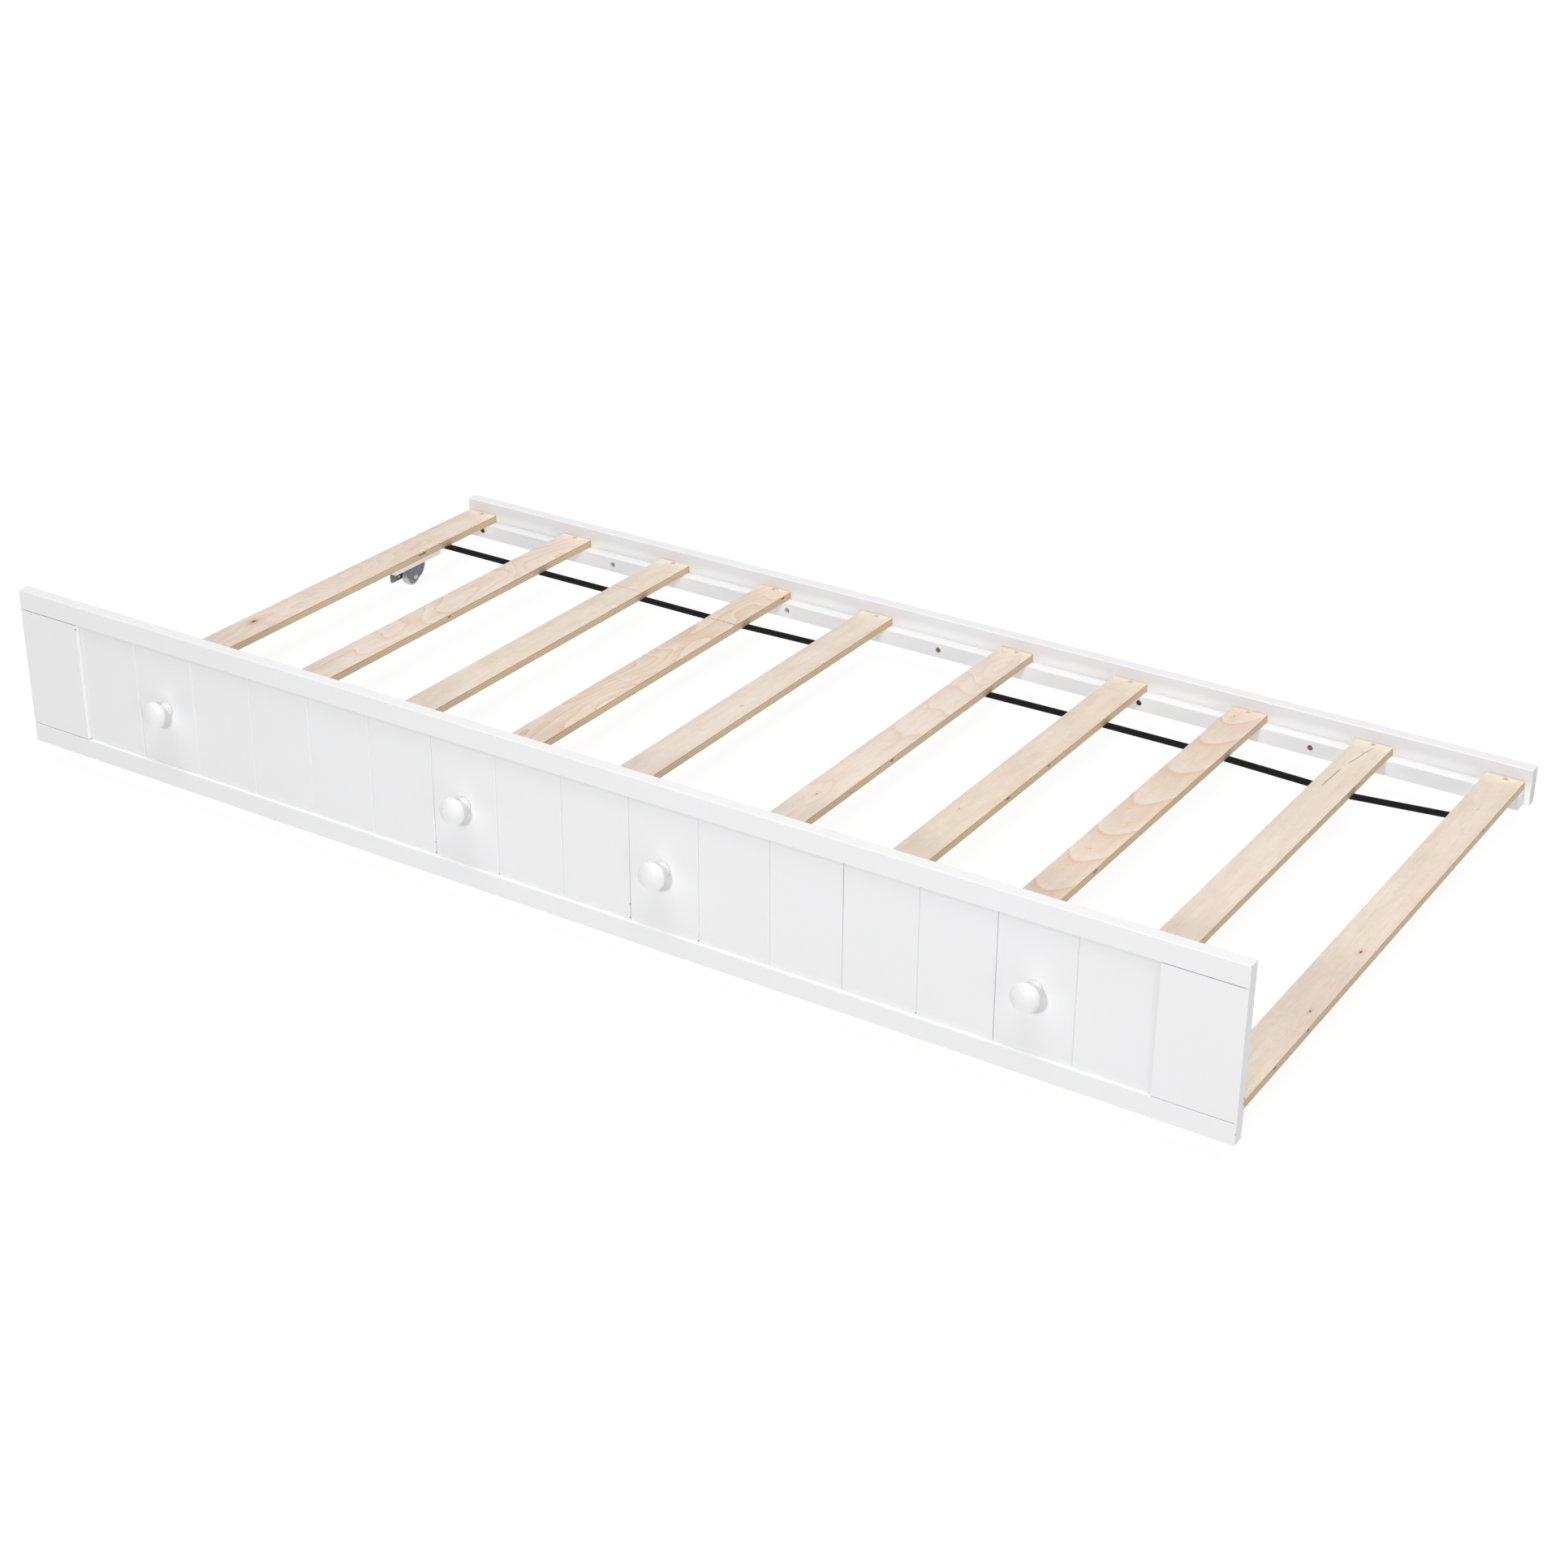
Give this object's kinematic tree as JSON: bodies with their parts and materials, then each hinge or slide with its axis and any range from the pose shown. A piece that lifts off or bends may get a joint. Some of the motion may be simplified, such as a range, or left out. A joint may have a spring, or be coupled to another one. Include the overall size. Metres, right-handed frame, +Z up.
{
  "type": "trundle bed",
  "caption": "Low roll-out trundle bed: panelled front board with round knobs, plain rear rail, plywood slats joined by webbing, and fixed casters under the end slats.",
  "frame": {"origin": "on the floor, under the centre of the whole bed's outline (knobs included)", "axes": "+X along the bed to the right as seen from the front board, +Y from the front board to the rear rail, +Z up"},
  "size_m": [1.905, 1.0592, 0.276],
  "materials": {
    "white_paint": "satin white paint on solid wood",
    "knob_paint": "gloss white paint on turned wood",
    "birch_plywood": "sanded, unfinished plywood",
    "black_webbing": "woven polypropylene webbing",
    "zinc_steel": "dull zinc plate",
    "screw_steel": "bright zinc plate",
    "grey_plastic": "moulded light grey plastic"
  },
  "bodies": {
    "bed_frame": {"front_top_rail": "white_paint", "front_bottom_rail": "white_paint", "front_left_stile": "white_paint", "front_right_stile": "white_paint", "panel_board_01": "white_paint", "panel_board_02": "white_paint", "panel_board_03": "white_paint", "panel_board_04": "white_paint", "panel_board_05": "white_paint", "panel_board_06": "white_paint", "panel_board_07": "white_paint", "panel_board_08": "white_paint", "panel_board_09": "white_paint", "panel_board_10": "white_paint", "panel_board_11": "white_paint", "panel_board_12": "white_paint", "panel_board_13": "white_paint", "panel_board_14": "white_paint", "panel_board_15": "white_paint", "panel_board_16": "white_paint", "rear_rail": "white_paint", "rear_cleat": "white_paint", "front_cleat": "white_paint", "knob_1": "knob_paint", "knob_2": "knob_paint", "knob_3": "knob_paint", "knob_4": "knob_paint", "slat_01": "birch_plywood", "slat_02": "birch_plywood", "slat_03": "birch_plywood", "slat_04": "birch_plywood", "slat_05": "birch_plywood", "slat_06": "birch_plywood", "slat_07": "birch_plywood", "slat_08": "birch_plywood", "slat_09": "birch_plywood", "slat_10": "birch_plywood", "rear_left_strap": "black_webbing", "rear_right_strap": "black_webbing", "front_left_strap": "black_webbing", "front_right_strap": "black_webbing", "caster_block_rear_left": "white_paint", "caster_bracket_rear_left": "zinc_steel", "caster_block_rear_right": "white_paint", "caster_bracket_rear_right": "zinc_steel", "caster_block_front_left": "white_paint", "caster_bracket_front_left": "zinc_steel", "caster_block_front_right": "white_paint", "caster_bracket_front_right": "zinc_steel", "knob_screws": "screw_steel", "cleat_screws": "screw_steel", "slat_screws": "screw_steel", "bracket_screws": "screw_steel", "block_screws": "screw_steel", "strap_staples": "screw_steel", "caster_axles": "screw_steel"},
    "rear_left_wheel": {"caster_wheel_rear_left": "grey_plastic"},
    "rear_right_wheel": {"caster_wheel_rear_right": "grey_plastic"},
    "front_left_wheel": {"caster_wheel_front_left": "grey_plastic"},
    "front_right_wheel": {"caster_wheel_front_right": "grey_plastic"}
  },
  "joints": [
    {"name": "rear_left_wheel_spin", "type": "hinge", "parent": "bed_frame", "child": "rear_left_wheel", "pos_m": [-0.9335, 0.32515, 0.016], "axis": [1, 0, 0], "continuous": true},
    {"name": "rear_right_wheel_spin", "type": "hinge", "parent": "bed_frame", "child": "rear_right_wheel", "pos_m": [0.9015, 0.32515, 0.016], "axis": [1, 0, 0], "continuous": true},
    {"name": "front_left_wheel_spin", "type": "hinge", "parent": "bed_frame", "child": "front_left_wheel", "pos_m": [-0.9335, -0.29585, 0.016], "axis": [1, 0, 0], "continuous": true},
    {"name": "front_right_wheel_spin", "type": "hinge", "parent": "bed_frame", "child": "front_right_wheel", "pos_m": [0.9015, -0.29585, 0.016], "axis": [1, 0, 0], "continuous": true}
  ]
}
